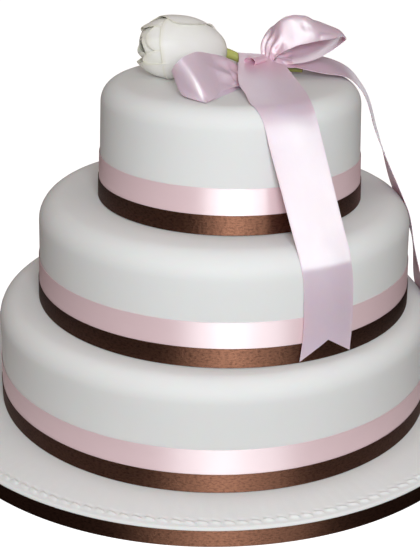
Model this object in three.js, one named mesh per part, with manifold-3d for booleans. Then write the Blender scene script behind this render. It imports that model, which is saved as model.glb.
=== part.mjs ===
// Three-tier wedding cake on an iced drum board, with satin ribbon round every tier, a white rose on top
// and a bow tied round the rose's stem. Millimetres, +Z up, front towards -Y.
// Origin: centre of the board's underside. One mesh for each separate piece.
import * as THREE from 'three';
import { mergeVertices } from 'three/addons/utils/BufferGeometryUtils.js';
import Module from 'manifold-3d';

// ---- driving dimensions -------------------------------------------------------------------------
const gap = 0.3;                 // clearance kept between pieces that touch
const roundSegments = 48;        // facets round the board, the tiers and their ribbons
const shoulderSteps = 4;         // facets over a tier's rounded shoulder

const board = { radius: 202.4, drumThickness: 9.5, icingThickness: 3.2, icingEdge: 2.4, ribbonTop: 11.3 };
const tiers = {                  // centre, radius at the base, taper to the top, height, shoulder radius
  bottom: { x: 3.2, y: -13.0, radius: 152.4, taper: 0.8, height: 73.7, shoulder: 14 },
  middle: { x: 9.1, y: -13.7, radius: 128.9, taper: 2.2, height: 71.0, shoulder: 16 },
  top: { x: 12.4, y: -15.6, radius: 88.8, taper: 3.0, height: 77.6, shoulder: 13.5 },
};
const band = { pinkHeight: 30, brownHeight: 13.2, thickness: 0.4 };   // ribbon round a tier
const bowRibbon = { width: 36, thickness: 1.1, lift: 1.7, wallLift: 3.7 };    // ribbon of the bow
const knotSize = { length: 28, depth: 12, height: 7.2 };
const rose = {                   // a bud on its side: its axis turned to the front and raised, in degrees
  length: 60, radius: 19.2, baseRadius: 4.5, fullAt: 0.7, swell: 0.7, closing: 0.2,
  petalThickness: 1.5, rollFrom: 0.7, cornerCut: 0.16, turn: 22, rise: 8,
};
const stem = { radius: 3, sides: 8, steps: 14 };

// ---- heights that follow from them --------------------------------------------------------------
const boardTop = board.drumThickness + board.icingThickness;
tiers.bottom.base = boardTop;
tiers.middle.base = tiers.bottom.base + tiers.bottom.height;
tiers.top.base = tiers.middle.base + tiers.middle.height;
const cakeTop = tiers.top.base + tiers.top.height;

// ---- finishes -----------------------------------------------------------------------------------
const finish = {
  icing: { color: 0xe4e6e4, roughness: 0.55 },
  foilCard: { color: 0xb9bcc0, roughness: 0.35, metalness: 0.6 },
  pinkSatin: { color: 0xd9bcc8, roughness: 0.35 },
  brownSatin: { color: 0x3a2018, roughness: 0.35 },
  petal: { color: 0xe6e6de, roughness: 0.6 },
  stem: { color: 0x8aa038, roughness: 0.6 },
};

const radians = THREE.MathUtils.degToRad;
const vec = (x, y, z) => new THREE.Vector3(x, y, z);
const model = new THREE.Group();
model.name = 'wedding_cake';

function addMesh(name, geometry, look, place = vec(0, 0, 0)) {
  const mesh = new THREE.Mesh(geometry, new THREE.MeshStandardMaterial({ metalness: 0, ...look }));
  mesh.name = name;
  mesh.position.copy(place);
  model.add(mesh);
}

// A turned solid from [radius, height] points, standing on +Z.
function turned(points) {
  const profile = points.map(([radius, height]) => new THREE.Vector2(radius, height));
  return new THREE.LatheGeometry(profile, roundSegments).rotateX(Math.PI / 2);
}

// ---- board --------------------------------------------------------------------------------------
function addBoard() {
  const { radius, drumThickness, icingThickness, icingEdge, ribbonTop } = board;
  const drumTop = drumThickness - gap;
  addMesh('board_drum', turned([[0, 0], [radius, 0], [radius, drumTop], [0, drumTop]]), finish.foilCard);
  const edge = [0, 30, 60, 90].map(radians).map((angle) => [
    radius - icingEdge * (1 - Math.cos(angle)), icingThickness - icingEdge * (1 - Math.sin(angle))]);
  addMesh('board_icing', turned([[0, 0], [radius, 0], ...edge, [0, icingThickness]]), finish.icing,
    vec(0, 0, drumThickness));
  const inner = radius + gap;
  const outer = inner + band.thickness;
  addMesh('board_ribbon', turned([[inner, gap], [outer, gap], [outer, ribbonTop], [inner, ribbonTop],
    [inner, gap]]), finish.brownSatin);
}

// ---- tiers and their ribbons --------------------------------------------------------------------
function wallRadius(tier, height) {
  return tier.radius - tier.taper * height / tier.height;
}

// The tier's outline over its shoulder: angle 0 is the flat top, 90 the wall.
function shoulderPoint(tier, angle, lift = 0) {
  const reach = tier.shoulder + lift;
  return {
    radius: tier.radius - tier.taper - tier.shoulder + reach * Math.sin(radians(angle)),
    height: tier.height - tier.shoulder + reach * Math.cos(radians(angle)),
  };
}

function addTier(name, tier) {
  const shoulder = Array.from({ length: shoulderSteps + 1 }, (_, step) => {
    const point = shoulderPoint(tier, 90 * (1 - step / shoulderSteps));
    return [point.radius, point.height];
  });
  addMesh(`tier_${name}`, turned([[0, gap], [tier.radius, gap], ...shoulder, [0, tier.height]]),
    finish.icing, vec(tier.x, tier.y, tier.base));
}

// A band lies flat on the wall from one height to another, standing off it by `offset`.
function addBand(name, tier, low, high, offset, look) {
  const inner = (height) => wallRadius(tier, height) + offset;
  const outer = (height) => inner(height) + band.thickness;
  addMesh(name, turned([[inner(low), low], [outer(low), low], [outer(high), high], [inner(high), high],
    [inner(low), low]]), look, vec(tier.x, tier.y, tier.base));
}

function addTierRibbons(name, tier) {
  const pinkOffset = gap;
  const brownOffset = pinkOffset + band.thickness + gap;
  addBand(`ribbon_pink_${name}`, tier, 2 * gap, band.pinkHeight, pinkOffset, finish.pinkSatin);
  addBand(`ribbon_brown_${name}`, tier, 2 * gap, band.brownHeight, brownOffset, finish.brownSatin);
}

// ---- solids from grids of points ----------------------------------------------------------------
// Closes a sheet of points, rows by columns, to a solid whose other face is `behind` it.
function solidFromGrid(front, behind) {
  const rows = front.length;
  const columns = front[0].length;
  const positions = [...front, ...behind].flat().flatMap((point) => point.toArray());
  const at = (side, row, column) => (side * rows + row) * columns + column;
  const index = [];
  const quad = (a, b, c, d) => index.push(a, b, c, a, c, d);
  for (let row = 0; row + 1 < rows; row += 1) {
    for (let column = 0; column + 1 < columns; column += 1) {
      quad(at(0, row, column), at(0, row, column + 1), at(0, row + 1, column + 1), at(0, row + 1, column));
      quad(at(1, row, column), at(1, row + 1, column), at(1, row + 1, column + 1), at(1, row, column + 1));
    }
  }
  for (let row = 0; row + 1 < rows; row += 1) {
    const last = columns - 1;
    quad(at(0, row, 0), at(0, row + 1, 0), at(1, row + 1, 0), at(1, row, 0));
    quad(at(0, row, last), at(1, row, last), at(1, row + 1, last), at(0, row + 1, last));
  }
  for (let column = 0; column + 1 < columns; column += 1) {
    const last = rows - 1;
    quad(at(0, 0, column), at(1, 0, column), at(1, 0, column + 1), at(0, 0, column + 1));
    quad(at(0, last, column), at(0, last, column + 1), at(1, last, column + 1), at(1, last, column));
  }
  const geometry = new THREE.BufferGeometry();
  geometry.setAttribute('position', new THREE.Float32BufferAttribute(positions, 3));
  geometry.setIndex(index);
  return geometry;
}

const wasm = await Module();
wasm.setup();

function toManifold(geometry) {
  const bare = geometry.clone();
  bare.deleteAttribute('normal');
  bare.deleteAttribute('uv');
  const merged = mergeVertices(bare, 1e-4);
  const vertProperties = new Float32Array(merged.attributes.position.array);
  const triVerts = new Uint32Array(merged.index.array);
  const solid = new wasm.Manifold(new wasm.Mesh({ numProp: 3, vertProperties, triVerts }));
  if (solid.volume() > 0) return solid;
  return new wasm.Manifold(new wasm.Mesh({ numProp: 3, vertProperties, triVerts: triVerts.reverse() }));
}

function toGeometry(manifold) {
  const mesh = manifold.getMesh();
  const geometry = new THREE.BufferGeometry();
  geometry.setAttribute('position', new THREE.BufferAttribute(new Float32Array(mesh.vertProperties), 3));
  geometry.setIndex(new THREE.BufferAttribute(new Uint32Array(mesh.triVerts), 1));
  return geometry;
}

// Joins the solids, cuts `away` off them and keeps the outer body, without the slivers and pockets where
// they cross.
function joined(geometries, away) {
  const whole = geometries.map(toManifold).reduce((all, next) => all.add(next));
  const rest = away ? whole.subtract(toManifold(away)) : whole;
  const bodies = rest.decompose().sort((one, other) => other.volume() - one.volume());
  return toGeometry(bodies[0]);
}

// ---- rose ---------------------------------------------------------------------------------------
// It lies on its side on the top tier, mouth to the left and a little to the front.
const roseBase = vec(8, 3, cakeTop + 13.4);
const heading = radians(rose.turn);
const roseAxis = vec(-Math.cos(heading), -Math.sin(heading), Math.tan(radians(rose.rise))).normalize();
const roseSide = vec(0, 0, 1).cross(roseAxis).normalize();      // horizontal, towards the front
const roseUp = roseAxis.clone().cross(roseSide);

// The bud's outline: radius at a share of its length.
function budRadius(share) {
  const swell = Math.sin(Math.PI / 2 * Math.min(1, share / rose.fullAt)) ** rose.swell;
  const closing = Math.max(0, (share - rose.fullAt) / (1 - rose.fullAt));
  return (rose.baseRadius + (rose.radius - rose.baseRadius) * swell) * (1 - rose.closing * closing ** 2);
}

// A point of the rose, from its share of the length, its angle round the axis (0 up) and its radius.
function rosePoint(share, angle, radius) {
  return roseBase.clone()
    .addScaledVector(roseAxis, share * rose.length)
    .addScaledVector(roseUp, radius * Math.cos(radians(angle)))
    .addScaledVector(roseSide, radius * Math.sin(radians(angle)));
}

// The bud inside the petals, 1 mm under their faces, its mouth a shallow dish.
function roseCore() {
  const wall = [0, 0.12, 0.28, 0.48, 0.72, 0.88].map((share) => [budRadius(share) - 1, share]);
  const mouth = [[rose.radius * 0.62, 0.97], [rose.radius * 0.3, 0.93], [0, 0.95]];
  const profile = [[0, 0], ...wall, ...mouth];
  const points = profile.map(([radius, share]) => new THREE.Vector2(radius, share * rose.length));
  const geometry = new THREE.LatheGeometry(points, 16);
  const frame = new THREE.Matrix4().makeBasis(roseUp, roseAxis, roseUp.clone().cross(roseAxis));
  return geometry.applyMatrix4(frame.setPosition(roseBase));
}

// A petal wraps the bud over `spread` degrees, its tip `reach` of the bud's length from the base and its
// rim rolled out by `flare`.
function petal({ angle, spread, reach, flare, offset }) {
  const rows = 6;
  const columns = 8;
  const root = 0.03;               // where it leaves the stem, as a share of the bud's length
  const freeFrom = 0.8;            // from here to its rim a petal stands clear of the bud
  const rollBack = 0.02;           // how far the rolled rim comes back, as a share of the bud's length
  const leastRadius = 0.5;
  const sheet = (inner) => Array.from({ length: rows + 1 }, (_, row) => (
    Array.from({ length: columns + 1 }, (__, column) => {
      const across = 2 * column / columns - 1;
      const along = row / rows;
      const tip = reach * (1 - rose.cornerCut * across ** 4);
      const roll = Math.max(0, (along - rose.rollFrom) / (1 - rose.rollFrom)) ** 2;
      const share = root + (tip - root) * along - rollBack * roll;
      const surface = budRadius(share) + offset * along + flare * roll;
      const rooted = budRadius(share) - 2 * rose.petalThickness;
      const back = along < freeFrom ? rooted : surface - rose.petalThickness;
      return rosePoint(share, angle + across * spread / 2, Math.max(inner ? back : surface, leastRadius));
    })));
  return solidFromGrid(sheet(false), sheet(true));
}

function addRose() {
  const petals = [
    { angle: 92, spread: 140, reach: 0.72, flare: 1.4, offset: 1.6 },     // broad one at the front
    { angle: -15, spread: 150, reach: 0.84, flare: 0.2, offset: 3.0 },    // over the top
    { angle: 195, spread: 130, reach: 0.94, flare: 0.0, offset: 0.0 },    // underneath, resting on the cake
    { angle: 275, spread: 130, reach: 0.88, flare: 0.6, offset: 0.8 },    // behind
    { angle: 60, spread: 120, reach: 0.98, flare: 0.0, offset: 0.6 },     // inner, front
  ];
  const below = new THREE.BoxGeometry(200, 200, 20).translate(0, 0, cakeTop + gap - 10);
  addMesh('rose', joined([roseCore(), ...petals.map(petal)], below), finish.petal);    // flat where it rests
}

// ---- stem ---------------------------------------------------------------------------------------
// From the rose's base down to the cake's top and on under the bow.
function addStem() {
  const start = roseBase.clone().addScaledVector(roseAxis, -gap);
  const route = new THREE.CatmullRomCurve3([
    start,
    start.clone().addScaledVector(roseAxis, -3),
    vec(20, 4.5, cakeTop + 8.4),
    vec(34, 2, cakeTop + 6.2),
    vec(48, -2.5, cakeTop + 4.6),
    vec(60, -5, cakeTop + 3.6),
  ]);
  const section = new THREE.Shape(Array.from({ length: stem.sides }, (_, side) => {
    const angle = 2 * Math.PI * side / stem.sides;
    return new THREE.Vector2(stem.radius * Math.cos(angle), stem.radius * Math.sin(angle));
  }));
  const along = { steps: stem.steps, extrudePath: route };
  addMesh('stem', new THREE.ExtrudeGeometry(section, along), finish.stem);
}

// ---- bow ----------------------------------------------------------------------------------------
// A strip of ribbon through rows of [left edge, middle, right edge]; the rows are joined by smooth curves.
function ribbon(rows, steps) {
  const edges = [0, 1, 2].map((column) => new THREE.CatmullRomCurve3(rows.map((cells) => cells[column])));
  const shares = Array.from({ length: steps + 1 }, (_, step) => step / steps);
  const under = shares.map((share) => edges.map((edge) => edge.getPoint(share)));
  const over = under.map((cells, step) => {
    const before = under[Math.max(0, step - 1)];
    const after = under[Math.min(steps, step + 1)];
    return cells.map((point, column) => {
      const across = cells[Math.min(2, column + 1)].clone().sub(cells[Math.max(0, column - 1)]);
      const along = after[column].clone().sub(before[column]);
      return point.clone().addScaledVector(across.cross(along).normalize(), bowRibbon.thickness);
    });
  });
  return solidFromGrid(over, under);
}

// A row between two edge points, its middle raised by `crown`.
function row(left, right, crown = 0) {
  const middle = left.clone().add(right).multiplyScalar(0.5);
  middle.z += crown;
  return [left, middle, right];
}

// A row lying on a tier: centred on an azimuth (0 front, 90 right), square to it.
function rowOnTier(tier, azimuth, place) {
  const half = THREE.MathUtils.radToDeg(Math.asin(bowRibbon.width / 2 / place.radius));
  return [-half, 0, half].map((turn) => {
    const angle = radians(azimuth + turn);
    return vec(tier.x + place.radius * Math.sin(angle), tier.y - place.radius * Math.cos(angle),
      tier.base + place.height);
  });
}

const onShoulder = (tier, azimuth, angle) => (
  rowOnTier(tier, azimuth, shoulderPoint(tier, angle, bowRibbon.lift)));
const onWall = (tier, azimuth, height) => (
  rowOnTier(tier, azimuth, { radius: wallRadius(tier, height) + bowRibbon.wallLift, height }));

// A swallow-tail end: the last row's middle is cut back.
function notched(cells, depth) {
  cells[1].z += depth;
  return cells;
}

function frontTail() {
  const top = cakeTop;
  return ribbon([
    row(vec(17, -4, top + 1.2), vec(45, -9, top + 1.2)),
    row(vec(16, 9, top + 1.6), vec(45, 4, top + 0.9)),
    row(vec(16, 18, top + 7), vec(45, 13, top + 5)),
    row(vec(18, 9, top + 14.6), vec(47, 4, top + 11)),
    row(vec(18, -6, top + 12), vec(48, -12, top + 9)),
    row(vec(18, -34, top + 3), vec(53, -34, top + 2.4)),
    row(vec(21, -56, top + bowRibbon.lift), vec(57, -52, top + bowRibbon.lift)),
    row(vec(23, -70, top + bowRibbon.lift), vec(59, -66, top + bowRibbon.lift)),
    onShoulder(tiers.top, 21, 12),
    onShoulder(tiers.top, 22, 36),
    onShoulder(tiers.top, 23, 62),
    onShoulder(tiers.middle, 28, 62),
    onShoulder(tiers.middle, 29, 78),
    onShoulder(tiers.middle, 29, 90),
    onWall(tiers.middle, 29, 36),
    onWall(tiers.middle, 28, 20),
    notched(onWall(tiers.middle, 28, 3), 11),
  ], 34);
}

function leftLoop() {
  const top = cakeTop;
  return ribbon([
    row(vec(20, -12, top + 8), vec(20, -42, top + 2), 1),
    row(vec(8, -24, top + 14), vec(8, -54, top + 2), 3),
    row(vec(-4, -36, top + 20), vec(2, -66, top + 2), 3),
    row(vec(-14, -46, top + 21.5), vec(-1, -76, top + 2.5), 2),
    row(vec(-22, -54, top + 18.5), vec(-4, -82, top + 3)),
    row(vec(-26, -56, top + 13), vec(-9, -83, top + 1.4), -1),
    row(vec(-19, -52, top + 8), vec(-6, -78, top + 1.0), -2),
    row(vec(0, -38, top + 4), vec(6, -62, top + 0.8), -1),
    row(vec(20, -26, top + 2.5), vec(22, -46, top + 0.8), -0.4),
  ], 22);
}

function rightLoop() {
  const top = cakeTop;
  return ribbon([
    row(vec(34, 6, top + 12), vec(46, -5, top + 11)),
    row(vec(36, 15, top + 23), vec(50, -9, top + 17), 1),
    row(vec(43, 18, top + 34), vec(53, -12, top + 20), 4),
    row(vec(54, 19, top + 37), vec(59, -14, top + 22), 4),
    row(vec(68, 18, top + 34), vec(69, -16, top + 27), 1),
    row(vec(83, 15, top + 28), vec(83, -16, top + 26)),
    row(vec(86, 14, top + 23), vec(84, -17, top + 22)),
    row(vec(75, 15, top + 17), vec(73, -18, top + 16), -1),
    row(vec(58, 13, top + 12.5), vec(59, -14, top + 12), -0.5),
    row(vec(40, 8, top + 12), vec(44, -6, top + 11.5)),
  ], 24);
}

function backTail() {
  const { bottom, middle } = tiers;
  const top = cakeTop;
  return ribbon([
    row(vec(42, -12, top + 10), vec(42, 14, top + 11)),
    row(vec(56, -15, top + 7.6), vec(57, 18, top + 10), 1.2),
    row(vec(74, -15, top + 4), vec(77, 20, top + 8), 1.5),
    row(vec(88, -15, top + 1.8), vec(93, 18, top + 1.5), 0.8),
    row(vec(98, -16, top - 6), vec(104, 17, top - 11)),
    row(vec(110, -18, top - 35), vec(116, 16, top - 42)),
    onShoulder(middle, 96, 55),
    onShoulder(middle, 96, 76),
    row(vec(142, -20, 120), vec(145, 16, 119)),
    onShoulder(bottom, 94, 64),
    onShoulder(bottom, 94, 84),
    onWall(bottom, 94, 54),
    notched(onWall(bottom, 94, 44), 10),
  ], 36);
}

// The gathered middle, in front of the stem, that the loops and tails come out of.
function knot() {
  const { length, depth, height } = knotSize;
  return new THREE.SphereGeometry(0.5, 12, 8).scale(length, depth, height).translate(32, -13, cakeTop + 5.2);
}

function addBow() {
  addMesh('bow', joined([frontTail(), leftLoop(), rightLoop(), backTail(), knot()]), finish.pinkSatin);
}

// ---- assembly -----------------------------------------------------------------------------------
addBoard();
for (const [name, tier] of Object.entries(tiers)) {
  addTier(name, tier);
  addTierRibbons(name, tier);
}
addRose();
addStem();
addBow();

export default model;
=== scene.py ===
import bisect
import math
import random

import bpy
from mathutils import Matrix, Vector, noise


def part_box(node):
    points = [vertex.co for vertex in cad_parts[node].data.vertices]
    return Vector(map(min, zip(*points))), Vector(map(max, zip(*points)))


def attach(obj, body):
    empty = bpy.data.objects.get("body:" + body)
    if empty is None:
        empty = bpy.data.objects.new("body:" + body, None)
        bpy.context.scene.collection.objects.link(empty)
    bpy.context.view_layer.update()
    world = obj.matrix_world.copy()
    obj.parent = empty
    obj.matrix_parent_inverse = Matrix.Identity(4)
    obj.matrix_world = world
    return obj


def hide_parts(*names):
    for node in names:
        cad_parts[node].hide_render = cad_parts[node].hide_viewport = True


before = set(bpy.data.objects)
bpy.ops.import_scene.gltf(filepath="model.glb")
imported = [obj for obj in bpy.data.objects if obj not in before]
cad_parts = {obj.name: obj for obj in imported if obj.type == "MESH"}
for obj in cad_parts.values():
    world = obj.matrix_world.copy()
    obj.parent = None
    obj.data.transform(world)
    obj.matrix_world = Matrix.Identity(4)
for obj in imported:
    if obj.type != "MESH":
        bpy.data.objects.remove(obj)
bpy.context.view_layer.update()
mm = 0.001
near = 1e-5                                         # metres; places closer than this count as one
print("frame loaded:", len(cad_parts), "nodes")


# working on a piece

def putDown():
    if bpy.context.object and bpy.context.object.mode != "OBJECT":
        bpy.ops.object.mode_set(mode="OBJECT")
    bpy.ops.object.select_all(action="DESELECT")


def takeUp(piece):
    putDown()
    piece.select_set(True)
    bpy.context.view_layer.objects.active = piece


def pick(piece, kind, test):
    # leaves edit mode on, with just the vertices, edges or faces selected that pass the test
    takeUp(piece)
    bpy.ops.object.mode_set(mode="EDIT")
    bpy.ops.mesh.select_mode(type=kind)
    bpy.ops.mesh.select_all(action="DESELECT")
    bpy.ops.object.mode_set(mode="OBJECT")
    mesh = piece.data
    corners = mesh.vertices
    if kind == "VERT":
        for vertex in corners:
            vertex.select = test(vertex.co)
    elif kind == "EDGE":
        for edge in mesh.edges:
            first, second = (corners[index].co for index in edge.vertices)
            edge.select = test(first, second)
    else:
        for face in mesh.polygons:
            face.select = test(face.center, face.normal)
    bpy.ops.object.mode_set(mode="EDIT")


def modify(piece, kind, **settings):
    takeUp(piece)
    modifier = piece.modifiers.new(kind.lower(), kind)
    for name, value in settings.items():
        setattr(modifier, name, value)
    bpy.ops.object.modifier_apply(modifier=modifier.name)


def settle(piece):
    # its place goes into its mesh, and its faces point outwards
    takeUp(piece)
    bpy.ops.object.transform_apply(location=True, rotation=True, scale=True)
    bpy.ops.object.mode_set(mode="EDIT")
    bpy.ops.mesh.select_all(action="SELECT")
    bpy.ops.mesh.normals_make_consistent(inside=False)
    putDown()


def complete(piece, name, nodes, material, smoothAngle=50):
    piece.name = name
    piece.data.name = name
    takeUp(piece)
    bpy.ops.object.shade_smooth_by_angle(angle=math.radians(smoothAngle))
    piece.data.materials.clear()
    piece.data.materials.append(material)
    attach(piece, "root")
    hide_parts(*nodes)
    putDown()
    return piece


def gridThrough(place, rows, columns, width, length):
    # a grid whose points go to place(along, across), along 0 to 1 and across -1 to 1; its UV is in metres
    putDown()
    bpy.ops.mesh.primitive_grid_add(x_subdivisions=columns, y_subdivisions=rows, size=1)
    piece = bpy.context.object
    for index, vertex in enumerate(piece.data.vertices):
        row, column = divmod(index, columns + 1)
        vertex.co = place(row / rows, 2 * column / columns - 1)
    for corner in piece.data.uv_layers.active.data:
        corner.uv = (corner.uv[0] * width, corner.uv[1] * length)
    return piece


# shader work

class Signal:
    # an output socket; arithmetic on it adds Math nodes
    def __init__(self, network, socket):
        self.network = network
        self.socket = socket

    def maths(self, operation, first, second):
        return self.network.node("ShaderNodeMath", {"operation": operation}, {0: first, 1: second})

    def __add__(self, other):
        return self.maths("ADD", self, other)

    def __sub__(self, other):
        return self.maths("SUBTRACT", self, other)

    def __mul__(self, other):
        return self.maths("MULTIPLY", self, other)


class Network:
    # builds nodes in a tree
    def __init__(self, tree):
        self.tree = tree

    def node(self, kind, settings=None, inputs=None, output=0):
        made = self.tree.nodes.new(kind)
        for name, value in (settings or {}).items():
            setattr(made, name, value)
        for key, value in (inputs or {}).items():
            if isinstance(value, Signal):
                self.tree.links.new(value.socket, made.inputs[key])
            else:
                made.inputs[key].default_value = value
        return Signal(self, made.outputs[output])

    def absolute(self, signal):
        return self.node("ShaderNodeMath", {"operation": "ABSOLUTE"}, {0: signal})

    def part(self, point, number):
        # x, y or z of a point, as number 0, 1 or 2
        return self.node("ShaderNodeSeparateXYZ", None, {0: point}, number)

    def blend(self, factor, first, second):
        # colours or signals; the Mix node takes them at sockets 6 and 7 and gives the result at 2
        inputs = {0: factor}
        for socket, colour in ((6, first), (7, second)):
            inputs[socket] = colour if isinstance(colour, Signal) else opaque(colour)
        return self.node("ShaderNodeMix", {"data_type": "RGBA"}, inputs, 2)

    def span(self, signal, fromLow, fromHigh, low, high):
        return self.node("ShaderNodeMapRange", None,
                         {0: signal, 1: fromLow, 2: fromHigh, 3: low, 4: high})


class Shader(Network):
    def __init__(self, name, **fixed):
        self.material = bpy.data.materials.new(name)
        self.material.use_nodes = True
        super().__init__(self.material.node_tree)
        self.surface = self.tree.nodes["Principled BSDF"]
        for socket, value in fixed.items():
            self.surface.inputs[socket.replace("_", " ")].default_value = value

    def feed(self, socket, signal):
        self.tree.links.new(signal.socket, self.surface.inputs[socket])

    def objectPoint(self, scale=(1, 1, 1)):
        return self.mapped(self.node("ShaderNodeTexCoord", output="Object"), scale)

    def surfacePoint(self, scale=(1, 1, 1)):
        return self.mapped(self.node("ShaderNodeUVMap", {"uv_map": "UVMap"}), scale)

    def mapped(self, point, scale):
        return self.node("ShaderNodeMapping", None, {"Vector": point, "Scale": scale})

    def noise(self, point, scale, detail, roughness=0.5):
        return self.node("ShaderNodeTexNoise", None,
                         {"Vector": point, "Scale": scale, "Detail": detail, "Roughness": roughness})

    def spread(self, noise, limits):
        # noise keeps mostly between 0.3 and 0.7
        return self.span(noise, 0.3, 0.7, *limits)

    def relief(self, height, distance, strength):
        self.feed("Normal", self.node("ShaderNodeBump", None,
                                      {"Strength": strength, "Distance": distance, "Height": height}))


def opaque(colour):
    return (*colour, 1)


# materials

pasteLook = {
    "colour": (0.81, 0.81, 0.805), "shade": (0.78, 0.78, 0.77), "roughness": (0.55, 0.66),
    "cloudScale": 18, "grainScale": 900, "grainShare": 0.18, "rippleScale": 60, "rippleShare": 0.8,
    "dent": 0.0006,
}


def makePaste():
    look = pasteLook
    shader = Shader("sugarPaste", Subsurface_Weight=0.12, Subsurface_Scale=0.002, Specular_IOR_Level=0.25)
    cloud = shader.noise(shader.objectPoint(), look["cloudScale"], 3)
    grain = shader.noise(shader.objectPoint(), look["grainScale"], 3, 0.6)
    ripple = shader.noise(shader.objectPoint(), look["rippleScale"], 2)
    shader.feed("Base Color", shader.blend(cloud, look["colour"], look["shade"]))
    shader.feed("Roughness", shader.spread(cloud, look["roughness"]))
    shader.relief(grain * look["grainShare"] + ripple * look["rippleShare"], look["dent"], 0.35)
    return shader.material


foilLook = {
    "colour": (0.62, 0.63, 0.65), "worn": (0.5, 0.51, 0.54), "roughness": (0.22, 0.38),
    "wearScale": 60, "cellScale": 420, "emboss": 0.00015,
}


def makeFoil():
    look = foilLook
    shader = Shader("silverFoil", Metallic=1.0)
    cells = shader.node("ShaderNodeTexVoronoi", {"feature": "DISTANCE_TO_EDGE"},
                        {"Vector": shader.objectPoint(), "Scale": look["cellScale"]})
    wear = shader.noise(shader.objectPoint(), look["wearScale"], 4)
    shader.feed("Base Color", shader.blend(wear, look["colour"], look["worn"]))
    shader.feed("Roughness", shader.spread(wear, look["roughness"]))
    shader.relief(cells, look["emboss"], 0.7)
    return shader.material


satinWeave = {
    "threads": (5000, 90, 1), "cloud": (120, 60, 1), "grain": (900, 420, 1),    # repeats for each metre
    "threadRoughness": 0.06, "cloudRoughness": 0.10, "selvedgeRoughness": 0.12,
    # the edges darken a little: partly the woven selvedge, partly a painted shadow line along the edge
    "selvedgeFrom": 0.47, "selvedgeAndEdgeShadow": 0.35, "fleckFrom": 0.45,
}
bowSatinLook = {
    "colour": (0.84, 0.615, 0.71), "deep": (0.77, 0.54, 0.65), "roughness": 0.36, "width": 0.036,
    # the pinker tone near the knot is painted bounce light between the folds, not a dye
    "thread": 0.00002, "paintedBounce": (0.80, 0.44, 0.56), "paintedBounceShare": 0.75, "paintedBounceFade": (0.010, 0.034),
    "knot": (0.031, -0.014, 0.246),
}
pinkLook = {
    "colour": (0.88, 0.65, 0.68), "deep": (0.83, 0.60, 0.63), "roughness": 0.38, "width": 0.0294,
    "thread": 0.00002, "mottle": 0.00002,
}
brownLook = {
    "colour": (0.022, 0.0095, 0.0065), "deep": (0.012, 0.0055, 0.004), "roughness": 0.42, "width": 0.0126,
    "thread": 0.00003, "mottle": 0.0004, "flecks": 2.2,
}


def makeSatin(name, look, **fixed):
    # UV runs across the ribbon from 0 to its width, and along it, in metres
    weave = satinWeave
    shader = Shader(name, **fixed)
    threads = shader.noise(shader.surfacePoint(weave["threads"]), 1, 2)
    cloud = shader.noise(shader.surfacePoint(weave["cloud"]), 1, 3, 0.55)
    across = shader.part(shader.surfacePoint((1 / look["width"], 1, 1)), 0)
    selvedge = shader.node("ShaderNodeMath", {"operation": "GREATER_THAN"},
                           {0: shader.absolute(across - 0.5), 1: weave["selvedgeFrom"]})
    tone = shader.blend(threads * 0.5 + cloud * 0.5, look["colour"], look["deep"])
    if "paintedBounce" in look:                             # painted pink bounce light: folds near the knot pass pink light to each other
        fromKnot = shader.node("ShaderNodeVectorMath", {"operation": "DISTANCE"},
                               {0: shader.objectPoint(), 1: look["knot"]}, 1)
        bounceAmount = shader.span(fromKnot, *look["paintedBounceFade"], look["paintedBounceShare"], 0)
        tone = shader.blend(bounceAmount, tone, look["paintedBounce"])
    # darker along both edges: the selvedge, partly a painted shadow line along the edge
    shader.feed("Base Color", shader.blend(selvedge * weave["selvedgeAndEdgeShadow"], tone, look["deep"]))
    unevenness = threads * weave["threadRoughness"] + cloud * weave["cloudRoughness"]
    shader.feed("Roughness", unevenness + selvedge * weave["selvedgeRoughness"] + look["roughness"])
    height = threads * look["thread"]
    if "mottle" in look:                            # the bands lie a little unevenly
        grain = shader.noise(shader.surfacePoint(weave["grain"]), 1, 3, 0.6)
        height = height + grain * look["mottle"]
        if "flecks" in look:                        # fine dark flecks in the gloss
            shader.feed("Metallic", (grain - weave["fleckFrom"]) * look["flecks"])
    height = height + selvedge * (2 * look["thread"])
    shader.relief(height, 1.0, 0.5)                 # the height is in metres
    return shader.material


petalLook = {
    "colour": (0.98, 0.96, 0.92), "shade": (0.94, 0.93, 0.83), "roughness": (0.5, 0.62),
    "foot": (0.62, 0.66, 0.40), "footShare": 0.55, "footEnds": 0.16,
    "rim": (0.84, 0.80, 0.64), "rimShare": 0.6, "rimStarts": 0.93,
    "veins": (38, 1.6, 1), "veinHeight": 0.0003, "softScale": 120,
}


def makePetal():
    # UV: across the petal 0 to 1, from its foot at 0 to its rim at 1
    look = petalLook
    shader = Shader("rosePetal", Subsurface_Weight=0.25, Subsurface_Scale=0.002,
                    Subsurface_Radius=(0.9, 1.0, 0.7))
    veins = shader.noise(shader.surfacePoint(look["veins"]), 1, 3)
    along = shader.part(shader.surfacePoint(), 1)
    soft = shader.noise(shader.objectPoint(), look["softScale"], 3)
    tone = shader.blend(soft * 0.6 + veins * 0.4, look["colour"], look["shade"])
    atRim = shader.span(along, look["rimStarts"], 1, 0, look["rimShare"])
    atFoot = shader.span(along, 0, look["footEnds"], look["footShare"], 0)
    tone = shader.blend(atRim, tone, look["rim"])
    shader.feed("Base Color", shader.blend(atFoot, tone, look["foot"]))
    shader.feed("Roughness", shader.spread(soft, look["roughness"]))
    shader.relief(veins, look["veinHeight"], 0.2)
    return shader.material


stemLook = {
    "lime": (0.52, 0.53, 0.15), "limeUntil": 0.018, "olive": (0.24, 0.23, 0.05), "oliveFrom": 0.045,
    "fibre": (0.42, 0.46, 0.12), "fibres": (60, 700, 700), "fibreShare": 0.35, "fibreHeight": 0.0003,
    "unevenness": 0.008, "roughness": (0.38, 0.6),
}


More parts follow.
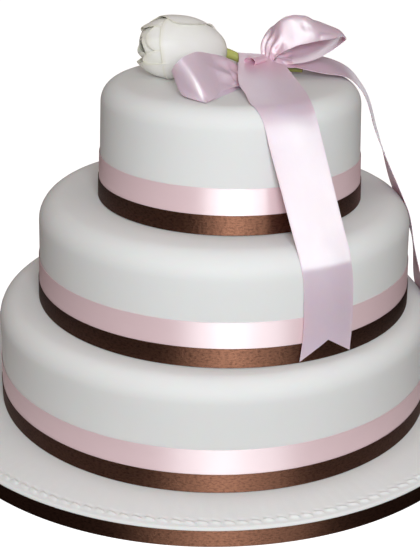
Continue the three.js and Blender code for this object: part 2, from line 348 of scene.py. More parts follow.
def makeStemSkin():
    # lime green by the rose, olive towards the cut end
    look = stemLook
    shader = Shader("roseStem", Subsurface_Weight=0.1, Subsurface_Scale=0.002)
    fibres = shader.noise(shader.objectPoint(look["fibres"]), 1, 3)
    toRight = shader.part(shader.objectPoint(), 0)
    reach = toRight + fibres * look["unevenness"]
    ageing = shader.span(reach, look["limeUntil"], look["oliveFrom"], 0, 1)
    tone = shader.blend(ageing, look["lime"], look["olive"])
    shader.feed("Base Color", shader.blend(fibres * look["fibreShare"], tone, look["fibre"]))
    shader.feed("Roughness", shader.spread(fibres, look["roughness"]))
    shader.relief(fibres, look["fibreHeight"], 0.5)
    return shader.material


paste = makePaste()
foil = makeFoil()
pinkSatin = makeSatin("pinkSatin", bowSatinLook, Specular_IOR_Level=1.0, IOR=1.85, Anisotropic=0.3,
                      Subsurface_Weight=0.2, Subsurface_Scale=0.003)
pinkBandSatin = makeSatin("pinkBandSatin", pinkLook, Specular_IOR_Level=1.0, IOR=1.8, Anisotropic=0.95,
                          Anisotropic_Rotation=0.25)
brownSatin = makeSatin("brownSatin", brownLook, Specular_IOR_Level=1.0, IOR=1.72, Anisotropic=1.0,
                       Anisotropic_Rotation=0.25, Specular_Tint=opaque((1.0, 0.44, 0.27)))
petalSkin = makePetal()
stemSkin = makeStemSkin()
print("materials made")


# board

boardLook = {
    "facets": 240, "drumEdge": 0.0006, "discInset": 0.012, "discDepth": 0.0002,
    "pasteEdge": 0.0024, "edgeSteps": 6, "fineStep": 0.0004, "fineRings": 23,
    "plainFrom": 0.012, "plainStep": 0.02, "plainRings": 8, "ripple": 0.0002, "rippleScale": 40,
}
crimpLook = {
    "count": 157, "inset": 0.0062, "length": 0.0062, "width": 0.0013, "height": 0.0011,
    "slant": 0.28, "groove": 0.3, "grooveOff": 2.2, "steps": 10,
    "sizes": (0.85, 1.1), "shifts": (-0.3, 0.3), "lifts": (0.75, 1.15), "seed": 5,
}


def nodeCircle(node):
    low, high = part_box(node)
    foot = Vector(((low.x + high.x) / 2, (low.y + high.y) / 2, low.z))
    return foot, (high.x - low.x) / 2, high.z - low.z


def turnedDisc(centre, radius, height, facets):
    putDown()
    bpy.ops.mesh.primitive_cylinder_add(vertices=facets, radius=radius, depth=height, end_fill_type="NGON",
                                        location=centre + Vector((0, 0, height / 2)))
    return bpy.context.object


def makeDrum():
    look = boardLook
    centre, radius, height = nodeCircle("board_drum")
    piece = turnedDisc(centre, radius, height, look["facets"])
    pick(piece, "EDGE", lambda first, second:
         abs(abs(first.z) - height / 2) < near and abs(first.z - second.z) < near)
    bpy.ops.mesh.bevel(offset=look["drumEdge"], segments=3, affect="EDGES")
    settle(piece)
    pick(piece, "FACE", lambda middle, normal: normal.z < -0.99)
    bpy.ops.mesh.inset(thickness=look["discInset"])     # a paper disc covers the foil's turned-in edge
    bpy.ops.transform.translate(value=(0, 0, look["discDepth"]))
    putDown()
    complete(piece, "foilDrum", ["board_drum"], foil)


def crimpRelief(place, radius, jitter):
    # raised, slanted marks all round, a little inside the board's edge
    look = crimpLook
    angle = math.atan2(place.y, place.x) % (2 * math.pi)
    number = angle / (2 * math.pi) * look["count"]
    size, shift, lift = jitter[int(number) % look["count"]]
    arc = 2 * math.pi * radius / look["count"] * (number % 1 - 0.5)
    inward = radius - math.hypot(place.x, place.y) - look["inset"] - shift
    off = (inward + look["slant"] * arc) / look["width"]
    ends = max(0, 1 - (2 * arc / (look["length"] * size)) ** 2)
    ridge = math.exp(-off ** 2) * math.sqrt(ends) * lift
    groove = math.exp(-(off - look["grooveOff"]) ** 2) * ends       # pressed in on the ridge's inner side
    return look["height"] * (ridge - look["groove"] * groove)


def pasteProfile(radius, height):
    # from the middle of the underside, round the edge, to the middle of the top
    look = boardLook
    edge = look["pasteEdge"]
    profile = [(0.0, 0.0), (radius, 0.0), (radius, height - edge)]
    for step in range(1, look["edgeSteps"] + 1):
        turn = math.pi / 2 * step / look["edgeSteps"]
        profile.append((radius - edge * (1 - math.cos(turn)), height - edge * (1 - math.sin(turn))))
    for step in range(1, look["fineRings"] + 1):
        profile.append((radius - edge - step * look["fineStep"], height))
    for step in range(1, look["plainRings"] + 1):
        profile.append((radius - look["plainFrom"] - look["plainStep"] * step, height))
    return profile + [(0.0, height)]


def makeBoardPaste():
    look = boardLook
    crimps = crimpLook
    centre, radius, height = nodeCircle("board_icing")
    profile = pasteProfile(radius, height)
    putDown()
    bpy.ops.mesh.primitive_plane_add(size=mm, location=centre)
    piece = bpy.context.object
    bpy.ops.object.transform_apply(location=True)
    bpy.ops.object.mode_set(mode="EDIT")
    bpy.ops.mesh.select_mode(type="VERT")
    bpy.ops.mesh.select_all(action="SELECT")
    bpy.ops.mesh.merge(type="CENTER")               # one point, drawn along the profile and spun
    for (reach, rise), (nextReach, nextRise) in zip(profile, profile[1:]):
        bpy.ops.mesh.extrude_region_move(
            TRANSFORM_OT_translate={"value": (nextReach - reach, 0, nextRise - rise)})
    bpy.ops.mesh.select_all(action="SELECT")
    sector = 2 * math.pi / crimps["count"]
    bpy.ops.mesh.spin(steps=crimps["steps"], angle=sector, center=centre, axis=(0, 0, 1))
    putDown()
    turner = bpy.data.objects.new("turner", None)   # each copy of the sector is turned on by one crimp
    bpy.context.scene.collection.objects.link(turner)
    turner.rotation_euler = (0, 0, sector)
    bpy.context.view_layer.update()
    modify(piece, "ARRAY", count=crimps["count"], use_relative_offset=False, use_object_offset=True,
           offset_object=turner, use_merge_vertices=True, use_merge_vertices_cap=True,
           merge_threshold=2 * near)
    bpy.data.objects.remove(turner)
    settle(piece)
    randomness = random.Random(crimps["seed"])
    jitter = []                                     # each crimp's own size, shift and lift
    for crimp in range(crimps["count"]):
        size = randomness.uniform(*crimps["sizes"])
        shift = randomness.uniform(*crimps["shifts"]) * mm
        jitter.append((size, shift, randomness.uniform(*crimps["lifts"])))
    for vertex in piece.data.vertices:
        if vertex.co.z > centre.z + height - near:
            vertex.co.z += crimpRelief(vertex.co - centre, radius, jitter)
            vertex.co.z += look["ripple"] * (noise.noise(vertex.co * look["rippleScale"]) - 0.5)
    complete(piece, "boardPaste", ["board_icing"], paste, 60)


# tiers

tierLook = {
    "facets": 240, "shoulderSteps": 10, "wallRings": 9, "topRings": 12, "dent": 0.0004, "dentSize": 0.05,
    "bottom": {"taper": 0.0008, "shoulder": 0.014},
    "middle": {"taper": 0.0022, "shoulder": 0.016},
    "top": {"taper": 0.0030, "shoulder": 0.0135},
}
tierNames = ["bottom", "middle", "top"]


def makeTier(name):
    look = tierLook
    shape = look[name]
    centre, radius, height = nodeCircle("tier_" + name)
    piece = turnedDisc(centre, radius, height, look["facets"])
    pick(piece, "VERT", lambda place: place.z > 0)
    narrower = 1 - shape["taper"] / radius
    bpy.ops.transform.resize(value=(narrower, narrower, 1))
    pick(piece, "EDGE", lambda first, second: min(first.z, second.z) > height / 2 - near)
    bpy.ops.mesh.bevel(offset=shape["shoulder"], segments=look["shoulderSteps"], affect="EDGES")
    flatRadius = radius - shape["taper"] - shape["shoulder"]
    pick(piece, "FACE", lambda middle, normal: normal.z > 0.999 and middle.z > height / 2 - near)
    for ring in range(look["topRings"]):
        bpy.ops.mesh.inset(thickness=flatRadius / (look["topRings"] + 0.5))
    bpy.ops.mesh.poke()
    for ring in range(1, look["wallRings"]):
        share = ring / look["wallRings"]
        bpy.ops.mesh.select_all(action="SELECT")
        bpy.ops.mesh.bisect(plane_co=centre + Vector((0, 0, share * (height - shape["shoulder"]))),
                            plane_no=(0, 0, 1))
    settle(piece)
    dents = bpy.data.textures.new("handSmoothing", "CLOUDS")
    dents.noise_scale = look["dentSize"]
    modify(piece, "DISPLACE", texture=dents, texture_coords="LOCAL", strength=look["dent"], mid_level=1.0)
    complete(piece, name + "Tier", ["tier_" + name], paste)


# ribbons round the tiers and the board

bandLook = {
    "around": 360, "over": 6, "thickness": 0.00025, "lap": 0.016, "lapLift": 1.4,
    "wave": 0.00015, "waveScale": 2,
    "pinkOut": 0.00045, "brownOut": 0.0009, "boardOut": 0.00045,
}
bands = []


def makeBand(name, node, wall, out, material, seed):
    # a strip laid once round from behind, its end lapped over its start; wall(level) is the radius
    # under it
    look = bandLook
    centre, reach, height = nodeCircle(node)
    around = 2 * math.pi * reach
    lapTurn = look["lap"] / reach

    def place(along, across):
        turn = along * (2 * math.pi + lapTurn)
        level = centre.z + 0.5 * (across + 1) * height
        spot = Vector((math.cos(turn) * look["waveScale"], math.sin(turn) * look["waveScale"], seed))
        wobble = look["wave"] * noise.noise(spot)
        lapped = max(0.0, (turn - 2 * math.pi + lapTurn) / lapTurn)
        radius = wall(level) + out + look["thickness"] * look["lapLift"] * min(1, lapped)
        angle = math.pi / 2 + turn
        return Vector((centre.x + radius * math.cos(angle), centre.y + radius * math.sin(angle),
                       level + wobble))

    piece = gridThrough(place, look["around"], look["over"], height, around)
    modify(piece, "SOLIDIFY", thickness=look["thickness"], offset=1)
    settle(piece)
    bands.append(complete(piece, name, [node], material, 40))


def dressTier(name, seed):
    centre, radius, height = nodeCircle("tier_" + name)
    taper = tierLook[name]["taper"]

    def wall(level):
        return radius - taper * (level - centre.z) / height

    makeBand(name + "PinkRibbon", "ribbon_pink_" + name, wall, bandLook["pinkOut"],
             pinkBandSatin, seed)
    makeBand(name + "BrownRibbon", "ribbon_brown_" + name, wall, bandLook["brownOut"],
             brownSatin, seed + 7)


makeDrum()
makeBoardPaste()
boardRadius = nodeCircle("board_drum")[1]
makeBand("boardRibbon", "board_ribbon", lambda level: boardRadius, bandLook["boardOut"],
         brownSatin, 31)
print("board made")
for order, tierName in enumerate(tierNames):
    makeTier(tierName)
    dressTier(tierName, 3 * order)
print("tiers made")


# places on the cake

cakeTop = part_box("tier_top")[1].z
tierPlaces = {name: nodeCircle("tier_" + name) for name in tierNames}


def onCake(x, y, rise):
    # millimetres; rise is measured from the cake's top
    return Vector((x * mm, y * mm, cakeTop + rise * mm))


def roundTier(name, azimuth, out, rise):
    turn = math.radians(azimuth)
    return tierPlaces[name][0] + Vector((out * math.sin(turn), -out * math.cos(turn), rise))


def onShoulder(name, azimuth, turn):
    # a ribbon's point over a tier's shoulder: azimuth 0 is the front and 90 the right,
    # turn 0 the flat top and 90 the wall
    radius, height = tierPlaces[name][1:]
    shape = tierLook[name]
    reach = shape["shoulder"] + bowLook["lift"]
    out = radius - shape["taper"] - shape["shoulder"] + reach * math.sin(math.radians(turn))
    return roundTier(name, azimuth, out, height - shape["shoulder"] + reach * math.cos(math.radians(turn)))


def onWall(name, azimuth, rise, lift):
    radius, height = tierPlaces[name][1:]
    return roundTier(name, azimuth, radius - tierLook[name]["taper"] * rise / height + lift, rise)


def rowOn(place, name, right, left, *more):
    # from the viewer's right edge to the left one; each is the place's azimuth and its turn or rise
    middle = [(first + second) / 2 for first, second in zip(right, left)]
    return tuple(place(name, *point, *more) for point in (right, middle, left))


# rose

roseLook = {
    "length": 0.060, "radius": 0.0196, "footRadius": 0.0036, "fullAt": 0.5, "swell": 0.55, "closing": 0.5,
    "turn": 20, "rise": 8, "foot": (8, 3, 13.4), "clearance": 0.4,
}
petalLayout = {
    "rows": 22, "columns": 30, "thickness": 0.00045, "rimFrom": 0.72, "rimPull": 0.015, "edgeFrom": 0.82,
    "unevenness": 0.012, "unevenScale": 2.4, "rippleScale": 5, "opening": 1.6, "narrowest": 0.3,
    "smallest": 0.6,
}
rosePetals = {
    "petalUnder": {"angle": 176, "spread": 130, "reach": 1.02, "layer": 0.4, "flare": 2.2, "rollRight": 0.6},
    "petalBehind": {"angle": 275, "spread": 140, "reach": 0.93, "layer": 0.8, "flare": 0.6},
    "petalInnerTop": {"angle": -18, "spread": 120, "reach": 0.97, "layer": -0.3, "flare": 0.4, "wave": 0.7},
    "petalInnerLow": {"angle": 128, "spread": 90, "reach": 0.98, "layer": -0.8, "flare": 0.3, "wave": 0.6},
    "petalInnerFront": {"angle": 60, "spread": 82, "reach": 0.99, "layer": -0.4, "flare": 0.3, "wave": 0.8},
    "petalFront": {"angle": 93, "spread": 160, "reach": 0.88, "layer": 0.8, "flare": 0.9, "corner": 0.12,
                   "skew": 0.13},
    "petalTop": {"angle": -32, "spread": 150, "reach": 0.80, "layer": 1.6, "flare": 0.4, "rollRight": 1.6,
                 "waist": 1.25},
    "petalHeartA": {"angle": 40, "spread": 230, "reach": 1.01, "layer": -2.6, "flare": -0.8, "wave": 1.0},
    "petalHeartB": {"angle": 200, "spread": 230, "reach": 1.0, "layer": -4.6, "flare": -0.6, "wave": 1.1},
    "petalHeartC": {"angle": 320, "spread": 260, "reach": 0.99, "layer": -6.6, "flare": -0.4, "wave": 0.9},
}


def roseFrame():
    look = roseLook
    turn, rise = math.radians(look["turn"]), math.radians(look["rise"])
    axis = Vector((-math.cos(turn), -math.sin(turn), math.tan(rise))).normalized()
    side = Vector((0, 0, 1)).cross(axis).normalized()
    return onCake(*look["foot"]), axis, side, axis.cross(side)


def budRadius(share):
    look = roseLook
    swell = math.sin(math.pi / 2 * min(1, max(0, share) / look["fullAt"])) ** look["swell"]
    closing = max(0, (share - look["fullAt"]) / (1 - look["fullAt"]))
    radius = look["footRadius"] + (look["radius"] - look["footRadius"]) * swell
    return radius * (1 - look["closing"] * closing ** 3)


def rosePoint(share, angle, radius):
    foot, axis, side, up = roseFrame()
    point = foot + axis * share * roseLook["length"]
    point += up * radius * math.cos(math.radians(angle)) + side * radius * math.sin(math.radians(angle))
    point.z = max(point.z, cakeTop + roseLook["clearance"] * mm)        # it rests on the cake
    return point


def makePetalPiece(name, shape, seed):
    # angle: where the petal's middle lies round the bud, 0 on top and 90 in front; spread: its width in
    # degrees; reach: its length against the bud's; layer: its distance from the bud; flare: how far its
    # rim curls out
    look = petalLayout
    petal = {"rollRight": 0.0, "wave": 0.5, "corner": 0.17, "skew": 0.0, "waist": 0.0, **shape}

    def place(along, across):
        tip = petal["reach"] * (1 - petal["corner"] * abs(across) ** 3.4)
        tip += look["unevenness"] * noise.noise(Vector((across * look["unevenScale"], seed, 0)))
        tip -= petal["skew"] * max(0, across + 0.2) ** 1.3
        rim = max(0, (along - look["rimFrom"]) / (1 - look["rimFrom"])) ** 2
        roll = 0
        if across > 0:
            roll = petal["rollRight"] * max(0, (across - look["edgeFrom"]) / (1 - look["edgeFrom"])) ** 2
        ripple = petal["wave"] * rim * math.sin(across * look["rippleScale"] + seed)
        out = petal["layer"] * min(1, along * look["opening"]) + petal["flare"] * rim + roll + ripple
        radius = budRadius(tip * along) + out * mm
        narrow = max(look["narrowest"], 1 - petal["waist"] * (1 - along) ** 3)
        angle = petal["angle"] + across * petal["spread"] / 2 * narrow - roll * 3
        share = tip * along - look["rimPull"] * rim * abs(petal["flare"])
        return rosePoint(share, angle, max(radius, look["smallest"] * mm))

    piece = gridThrough(place, look["rows"], look["columns"], 1, 1)
    modify(piece, "SOLIDIFY", thickness=look["thickness"], offset=-1)
    modify(piece, "SUBSURF", levels=1, render_levels=1)
    settle(piece)
    complete(piece, name, ["rose"], petalSkin, 80)


for order, (petalName, petalShape) in enumerate(rosePetals.items()):
    makePetalPiece(petalName, petalShape, order * 1.7)
print("rose made")


# stem

stemShape = {
    "radius": 0.0029, "inBud": 0.002, "straight": 0.0033,
    "route": [(20, 4.5, 8.4), (34, 2, 6.2), (48, -2.5, 4.6), (60, -5, 4.2)],
    "girth": [1.35, 1.05, 1.0, 0.95, 0.75, 0.6],
}


def makeStem():
    shape = stemShape
    foot, axis = roseFrame()[:2]
    points = [foot + axis * shape["inBud"], foot - axis * shape["straight"]]
    points += [onCake(*point) for point in shape["route"]]
    putDown()
    bpy.ops.curve.primitive_nurbs_path_add()
    piece = bpy.context.object
    spline = piece.data.splines[0]
    spline.points.add(len(points) - len(spline.points))
    for point, place, girth in zip(spline.points, points, shape["girth"]):
        point.co = (*place, 1)
        point.radius = girth
    spline.use_endpoint_u = True
    spline.order_u = 3
    piece.data.bevel_depth = shape["radius"]
    piece.data.bevel_resolution = 5
    piece.data.use_fill_caps = True
    spline.resolution_u = 10
    takeUp(piece)
    bpy.ops.object.convert(target="MESH")
    piece = bpy.context.object
    bpy.ops.object.mode_set(mode="EDIT")
    bpy.ops.mesh.select_all(action="SELECT")
    bpy.ops.mesh.remove_doubles(threshold=near)     # joins the caps to the tube
    settle(piece)
    complete(piece, "greenStem", ["stem"], stemSkin)


makeStem()
print("stem made")


# bow

bowLook = {
    "width": 0.036, "thickness": 0.00032, "stations": 150, "columns": 26, "lift": 0.0008,
    "sway": 0.15, "swayScale": (32, 0.7), "fade": 0.006, "tautness": 0.8, "creaseFade": 0.8,
    "steepest": 2.2,
}


def row(left, right, crown=0, push=(0, 0)):
    # from the ribbon's left edge to its right edge, looking along it with its shiny side up;
    # crown lifts the middle and push moves it sideways
    left, right = onCake(*left), onCake(*right)
    return left, (left + right) / 2 + Vector((*push, crown)) * mm, right


def gentle(mixed, before, after):
    # keeps a slope near the smaller of its neighbours, so that the curve doesn't overshoot
    if before * after <= 0:
        return mixed
    limit = bowLook["steepest"] * min(abs(before), abs(after))
    return max(-limit, min(limit, mixed))


def smoothed(values, knots, place):
    # a smooth curve through the values, which lie at the knots
    last = len(knots) - 1
    step = min(max(bisect.bisect_right(knots, place) - 1, 0), last - 1)
    span = knots[step + 1] - knots[step]
    share = (place - knots[step]) / span

    def change(index):
        return (values[index] - values[index - 1]) / (knots[index] - knots[index - 1])

    def slope(index):
        if index in (0, last):
            return change(max(index, 1))
        before, after = change(index), change(index + 1)
        nearer, farther = knots[index] - knots[index - 1], knots[index + 1] - knots[index]
        mixed = (before * farther + after * nearer) / (nearer + farther)
        return Vector([gentle(*parts) for parts in zip(mixed, before, after)])

    passed = 3 * share ** 2 - 2 * share ** 3
    return (values[step] * (1 - passed) + values[step + 1] * passed
            + slope(step) * span * (share ** 3 - 2 * share ** 2 + share)
            + slope(step + 1) * span * (share ** 3 - share ** 2))


def creaseHeight(creases, run, offset):
    # each crease fades from its start to its end; millimetres along the ribbon and from its middle
    height = 0
    for start, end, depth, width in creases:
        line = Vector(end) - Vector(start)
        reach = Vector((run, offset)) - Vector(start)
        share = min(1, max(0, reach.dot(line) / line.length_squared))
        off = (reach - line * share).length
        height += depth * (1 - bowLook["creaseFade"] * share) * math.exp(-(off / width) ** 2)
    return height


def makeStrip(rows, pleats=0, gather=0.9, hidden=0.0, creases=(), notch=0.0, seed=0):
    # a strip of ribbon through the rows; where a row is narrower than the ribbon, gather is the share
    # of the spare width that goes into pleats, away from the ends that are hidden under another strip
    look = bowLook
    columns = look["columns"]
    knots = [0.0]
    for before, after in zip(rows, rows[1:]):
        knots.append(knots[-1] + (after[1] - before[1]).length)
    length = knots[-1]
    spread = [-1, 0, 1]
    lanes = []
    for column in range(columns + 1):
        lanes.append([smoothed(cells, spread, 2 * column / columns - 1) for cells in rows])

    def place(along, across):
        cut = 1 - notch / length * (1 - abs(across))
        return smoothed(lanes[round((across + 1) / 2 * columns)], knots, along * length * cut)

    def pleatHeight(run, across):
        chord = (smoothed(lanes[0], knots, run) - smoothed(lanes[-1], knots, run)).length
        slack = math.sqrt(max(0, gather * look["width"] / chord - 1))
        shown = 1
        if hidden:
            shown = min(1, max(0, (min(run, length - run) - hidden) / look["fade"]))
        return chord / mm / math.pi / pleats * slack * math.cos(pleats * math.pi * across + seed) * shown

    piece = gridThrough(place, look["stations"], columns, look["width"], length)
    mesh = piece.data
    lifts = []
    for index, vertex in enumerate(mesh.vertices):
        station, column = divmod(index, columns + 1)
        run = station / look["stations"] * length
        across = 2 * column / columns - 1
        height = pleatHeight(run, across) if pleats else 0
        height += creaseHeight(creases, run / mm, across * look["width"] / 2 / mm)
        swayPlace = Vector((run * look["swayScale"][0], across * look["swayScale"][1], seed))
        height += look["sway"] * noise.noise(swayPlace)
        lifts.append(vertex.normal * height * mm)
    for vertex, shift in zip(mesh.vertices, lifts):
        vertex.co += shift
    print("  strip of", round(length, 3), "m")
    modify(piece, "SOLIDIFY", thickness=look["thickness"], offset=0)
    settle(piece)
    return piece, length


leavesTop = rowOn(onShoulder, "top", (36.7, 68), (11.9, 55))            # from here the tail hangs straight
meetsMiddle = rowOn(onShoulder, "middle", (37.5, 60), (21.0, 57))


def hanging(share):
    # between the two shoulders the ribbon hangs nearly flat
    right, middle, left = (start.lerp(end, share) for start, end in zip(leavesTop, meetsMiddle))
    return right, middle.lerp((right + left) / 2, bowLook["tautness"] * math.sin(math.pi * share)), left


frontTail = [
    row((45, -9, 1.2), (17, -4, 1.2)),
    row((45, 4, 0.9), (16, 9, 1.6)),
    row((45, 11, 4.2), (16, 15, 6), 0.5),
    row((46, 8, 8.6), (17, 11.5, 11.4), 1),
    row((46.5, 1, 9.8), (17, 4, 13.2), 1.2),
    row((47.5, -8, 8.7), (17.5, -5, 12.0), 1.25),
    row((49.6, -18.8, 7.4), (16.9, -17, 10.4), 1.1),
    row((52.2, -31.8, 5.8), (16.5, -32.9, 8.2), 1.0),
    row((54.9, -44.4, 4.2), (16.5, -47, 6.3), 0.85),
    row((57.2, -55.6, 2.9), (17.8, -60, 4.6), 0.65),
    row((59.0, -65.5, 1.6), (20.8, -73, 2.9), 0.45),
    rowOn(onShoulder, "top", (39.6, 8), (8.8, 5)),
    rowOn(onShoulder, "top", (38.3, 21), (9.4, 14)),
    rowOn(onShoulder, "top", (37.4, 33), (10.0, 24)),
    rowOn(onShoulder, "top", (37.0, 45), (10.6, 34)),
    rowOn(onShoulder, "top", (36.7, 57), (11.3, 45)),
    leavesTop,
    hanging(0.2), hanging(0.5), hanging(0.8),
    meetsMiddle,
    rowOn(onShoulder, "middle", (37.3, 74), (21.1, 72)),
    rowOn(onShoulder, "middle", (37.5, 88), (21.4, 88)),
    rowOn(onWall, "middle", (37.7, 0.040), (21.7, 0.040), 0.0016),
    rowOn(onWall, "middle", (37.5, 0.018), (21.6, 0.018), 0.0022),
    rowOn(onWall, "middle", (36.6, 0.002), (20.6, 0.002), 0.0030),
]
leftLoop = [
    row((30, -27, 0.8), (31, -16, 4)),
    row((24, -36, 1.2), (24, -15, 6.8)),
    row((17.5, -45, 1.6), (16.4, -18, 9.2), 0.3),
    row((10.5, -55, 2), (8.5, -27, 15.8), 1),
    row((5, -64, 2), (-1, -38, 20.5), 1.4),
    row((3.0, -73, 1.6), (-9.5, -48.5, 23.8), 1.2),
    row((0.6, -79, 1.2), (-15.5, -55.5, 23.0), 0.4, (0, -3.5)),
    row((-1.2, -81.5, 1.0), (-18.8, -58.6, 21.8), -0.4, (1.0, -4.5)),
    row((-2.2, -83.5, 0.9), (-21.6, -59.6, 19.2), -2.0, (0.3, -3.8)),
    row((-3.0, -85.0, 0.7), (-24.0, -59.0, 16.0), -3.9, (-0.9, -1.8)),
    row((-3.2, -85.6, 0.5), (-25.0, -57.0, 12.6), -5.2, (-2.9, -0.7)),
    row((-1.5, -82.0, 0.4), (-21.5, -53.0, 8.6), -3.5, (-2.5, 0)),
    row((3, -72, 0.4), (-10, -45, 4.6), -1.6),
    row((12, -54, 0.4), (6, -34, 2.4), -0.5),
    row((26, -34, 0.4), (25, -22, 1.0)),
]
leftCreases = [                                     # start, end, depth and width
    ((18, -12), (48, 3), 1.5, 2.0),
    ((18, -9), (36, 9), -1.7, 2.6),
    ((18, -14), (40, -10), -1.2, 2.2),
    ((23, 3), (34, 15), 0.9, 2.4),
    ((23, -6), (26, 6), -1.4, 1.5),
]
rightLoop = [
    row((34, 5, 9.4), (40, -7, 9)),
    row((33, 8, 18), (42, -8.5, 13.2), 2),
    row((36.5, 12, 26), (46.5, -9, 16.6), 4.5),
    row((41, 14, 30), (51, -7.5, 18.6), 10.5, (0, -1)),
    row((48.5, 17, 31.5), (56.5, -7.5, 21), 12, (0, -3)),
    row((57.5, 18, 32.5), (62.5, -9, 22.6), 10.6, (0, -3)),
    row((67, 18, 33.4), (70, -13, 25), 5, (0, -1)),
    row((77, 16, 30.6), (79, -15.5, 27.0), 2.6),
    row((84.5, 14, 27.6), (84, -16, 28.4), 1.4),
    row((87.5, 13, 25), (86.3, -16, 26.6), 0.5),
    row((86, 13, 23), (82.5, -17, 23.4)),
    row((78, 14, 22), (76, -18, 18.9), -1.5),
    row((66, 14, 20), (66, -17.5, 13.5), -2.5),
    row((55, 12, 17), (55, -15, 10.3), -2),
    row((45, 8, 13), (47, -10, 9.5), -1),
    row((37, 1, 9.6), (39, -8, 8.8)),
]
rightCreases = [
    ((42, 8), (44, 10), -1.0, 2.4),
    ((12, 11), (30, 13), -1.5, 2.0),
    ((54, 14), (78, 15), 1.2, 2.2),
    ((46, 8), (48, 8), -0.45, 2.0),
]
backTail = [
    row((42, 14, 11), (42, -12, 10)),
    row((57, 18, 10), (56, -15, 7.6), 1.2),
    row((77, 20, 8), (74, -15, 4), 1.5),
    row((93, 18, 1.5), (88, -15, 1.8), 0.8),
    row((104, 17, -11), (98, -16, -6)),
    row((116, 16, -42), (110, -18, -35)),
    rowOn(onShoulder, "middle", (104.3, 55), (87.7, 55)),
    rowOn(onShoulder, "middle", (104.1, 76), (87.9, 76)),
    row((145, 16, -116), (142, -20, -115)),
    rowOn(onShoulder, "bottom", (100.9, 64), (87.1, 64)),
    rowOn(onShoulder, "bottom", (100.8, 84), (87.2, 84)),
    rowOn(onWall, "bottom", (100.8, 0.054), (87.2, 0.054), 0.002),
    rowOn(onWall, "bottom", (100.8, 0.044), (87.2, 0.044), 0.002),
]
knotLook = {
    "middle": (28.5, -14, 12), "facing": 42, "halfLength": 6.2, "halfWidth": 4.9, "halfHeight": 2.6,
    "start": -110, "turn": 345, "steps": 14, "taper": 0.8,
}


def knotRows():
    # a turn of ribbon round the gathers, its open end facing left of the front
    look = knotLook
    middle = Vector(look["middle"])
    turn = math.radians(look["facing"])
    ahead = Vector((-math.sin(turn), -math.cos(turn), 0)) * look["halfLength"]
    side = Vector((math.cos(turn), -math.sin(turn), 0)) * look["halfWidth"]
    up = Vector((0, 0, look["halfHeight"]))
    rows = []
    for step in range(look["steps"] + 1):
        angle = math.radians(look["start"] + look["turn"] * step / look["steps"])
        off = side * math.cos(angle) + up * math.sin(angle)
        rows.append(row(middle + off + ahead, middle + off * look["taper"] - ahead))
    return rows


def makeBow():
    strips = [
        makeStrip(frontTail, notch=0.011, seed=0.4),
        makeStrip(leftLoop, pleats=2, hidden=0.017, creases=leftCreases, seed=1.1),
        makeStrip(rightLoop, pleats=3, gather=0.72, creases=rightCreases, seed=2.3),
        makeStrip(backTail, pleats=2, notch=0.010, seed=3.2),
        makeStrip(knotRows(), seed=4.7),
    ]
    putDown()
    for piece, part in strips:
        piece.select_set(True)
    bow = strips[0][0]
    bpy.context.view_layer.objects.active = bow
    bpy.ops.object.join()
    complete(bow, "ribbonBow", ["bow"], pinkSatin, 60)
    return bow


ribbonBow = makeBow()
print("bow made")


# floor, lights and camera

stageLook = {
    "floorSize": 8, "floor": (0.85, 0.85, 0.85), "floorShade": (0.83, 0.83, 0.83), "glow": 0.75,
    "sky": (0.50, 0.45, 0.43), "ground": (0.26, 0.235, 0.215), "horizon": (-0.3, 0.5),
    "sides": 0.6, "sideFade": (0.2, 0.9), "glossShare": 0.06,
    "lampColour": (0.93, 1.0, 1.03), "aim": (0.01, -0.02, 0.13),
}
lamps = {
    "keyLight": {"size": (0.22, 0.22), "power": 4.05, "place": (0.07, -0.78, 0.50)},
    "sheenLight": {"size": (0.8, 0.66), "power": 11.6, "place": (0.11, -0.76, 0.48), "gloss": bands},
    "streakLight": {"size": (0.20, 0.20), "power": 1.15, "place": (-0.41, -0.30, 0.90),
                    "gloss": [ribbonBow]},
    "loopLight": {"size": (0.50, 0.40), "power": 2.7, "place": (-0.16, -0.50, 0.73), "gloss": [ribbonBow],
                  "colour": (0.87, 1.0, 0.94)},
    "tailLight": {"size": (0.40, 0.36), "power": 2.55, "place": (0.65, -0.45, 0.42), "gloss": [ribbonBow],
                  "colour": (0.83, 1.0, 0.92)},
    "throughLight": {"size": (0.24, 0.20), "power": 0.55, "place": (-0.02, 0.69, 0.50),
                     "gloss": [ribbonBow]},
    "rearLight": {"size": (0.5, 0.5), "power": 1.3, "place": (0.32, 0.62, 0.06), "gloss": [ribbonBow]},
}


def makeFloor():
    look = stageLook
    putDown()
    bpy.ops.mesh.primitive_plane_add(size=look["floorSize"], location=(0, 0, -0.1 * mm))
    floor = bpy.context.object
    floor.name = "studioFloor"
    shader = Shader("floorCard", Roughness=0.9, Specular_IOR_Level=0.1, Emission_Strength=look["glow"],
                    Emission_Color=opaque((1, 1, 1)))
    tone = shader.noise(shader.objectPoint(), 3, 2)
    shader.feed("Base Color", shader.blend(tone, look["floor"], look["floorShade"]))
    floor.data.materials.append(shader.material)
    floor.visible_glossy = False
    floor.visible_diffuse = False                   # its glow would light the cake from below


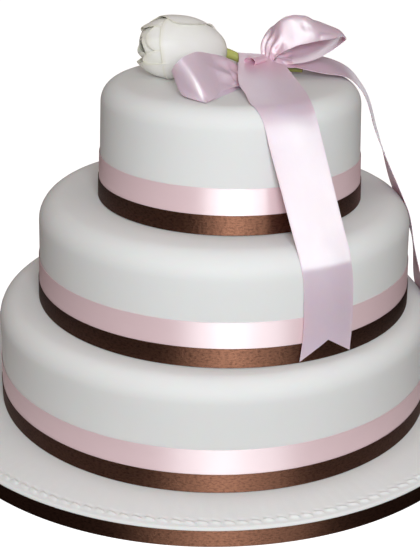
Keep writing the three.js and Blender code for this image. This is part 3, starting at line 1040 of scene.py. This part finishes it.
def makeWorld():
    look = stageLook
    world = bpy.data.worlds.new("studioWorld")
    bpy.context.scene.world = world
    world.use_nodes = True
    studio = Network(world.node_tree)
    backdrop = world.node_tree.nodes["Background"]
    direction = studio.node("ShaderNodeTexCoord")
    upward = studio.span(studio.part(direction, 2), *look["horizon"], 0, 1)
    tint = studio.blend(upward, look["ground"], look["sky"])
    sideways = studio.absolute(studio.part(direction, 0))
    sides = studio.span(sideways, *look["sideFade"], 1, look["sides"])
    glossy = studio.node("ShaderNodeLightPath", output=3)           # gloss sees a darker studio
    strength = sides * studio.span(glossy, 0, 1, 1, look["glossShare"])
    world.node_tree.links.new(tint.socket, backdrop.inputs["Color"])
    world.node_tree.links.new(strength.socket, backdrop.inputs["Strength"])


def makeLamp(name, look):
    lamp = bpy.data.lights.new(name, "AREA")
    lamp.shape = "RECTANGLE"
    lamp.size, lamp.size_y = look["size"]
    lamp.energy = look["power"]
    lamp.color = look.get("colour", stageLook["lampColour"])
    light = bpy.data.objects.new(name, lamp)
    bpy.context.scene.collection.objects.link(light)
    light.location = look["place"]
    light.rotation_euler = (Vector(stageLook["aim"]) - light.location).to_track_quat("-Z", "Y").to_euler()
    light.visible_camera = False
    if "gloss" in look:                             # it only shows in the gloss of these pieces
        light.visible_diffuse = False
        reached = bpy.data.collections.new(name + "Reach")
        for piece in look["gloss"]:
            reached.objects.link(piece)
        light.light_linking.receiver_collection = reached


cameraLook = {
    "place": (0.0032, -0.7296, 0.3910), "lens": 70.07, "sensor": 36, "nearest": 0.01,
    "right": (0.9999, 0.0089, 0.0103), "up": (-0.0129, 0.3874, 0.9218),
}


def makeCamera():
    look = cameraLook
    data = bpy.data.cameras.new("studioCamera")
    data.lens = look["lens"]
    data.sensor_fit = "AUTO"
    data.sensor_width = look["sensor"]
    data.clip_start = look["nearest"]
    camera = bpy.data.objects.new("studioCamera", data)
    bpy.context.scene.collection.objects.link(camera)
    right, up = Vector(look["right"]).normalized(), Vector(look["up"]).normalized()
    camera.matrix_world = Matrix((right, up, right.cross(up))).transposed().to_4x4()
    camera.location = look["place"]
    bpy.context.scene.camera = camera


makeFloor()
makeWorld()
for lampName, lampLook in lamps.items():
    makeLamp(lampName, lampLook)
makeCamera()
bpy.context.scene.view_settings.view_transform = "Standard"
print("stage made")
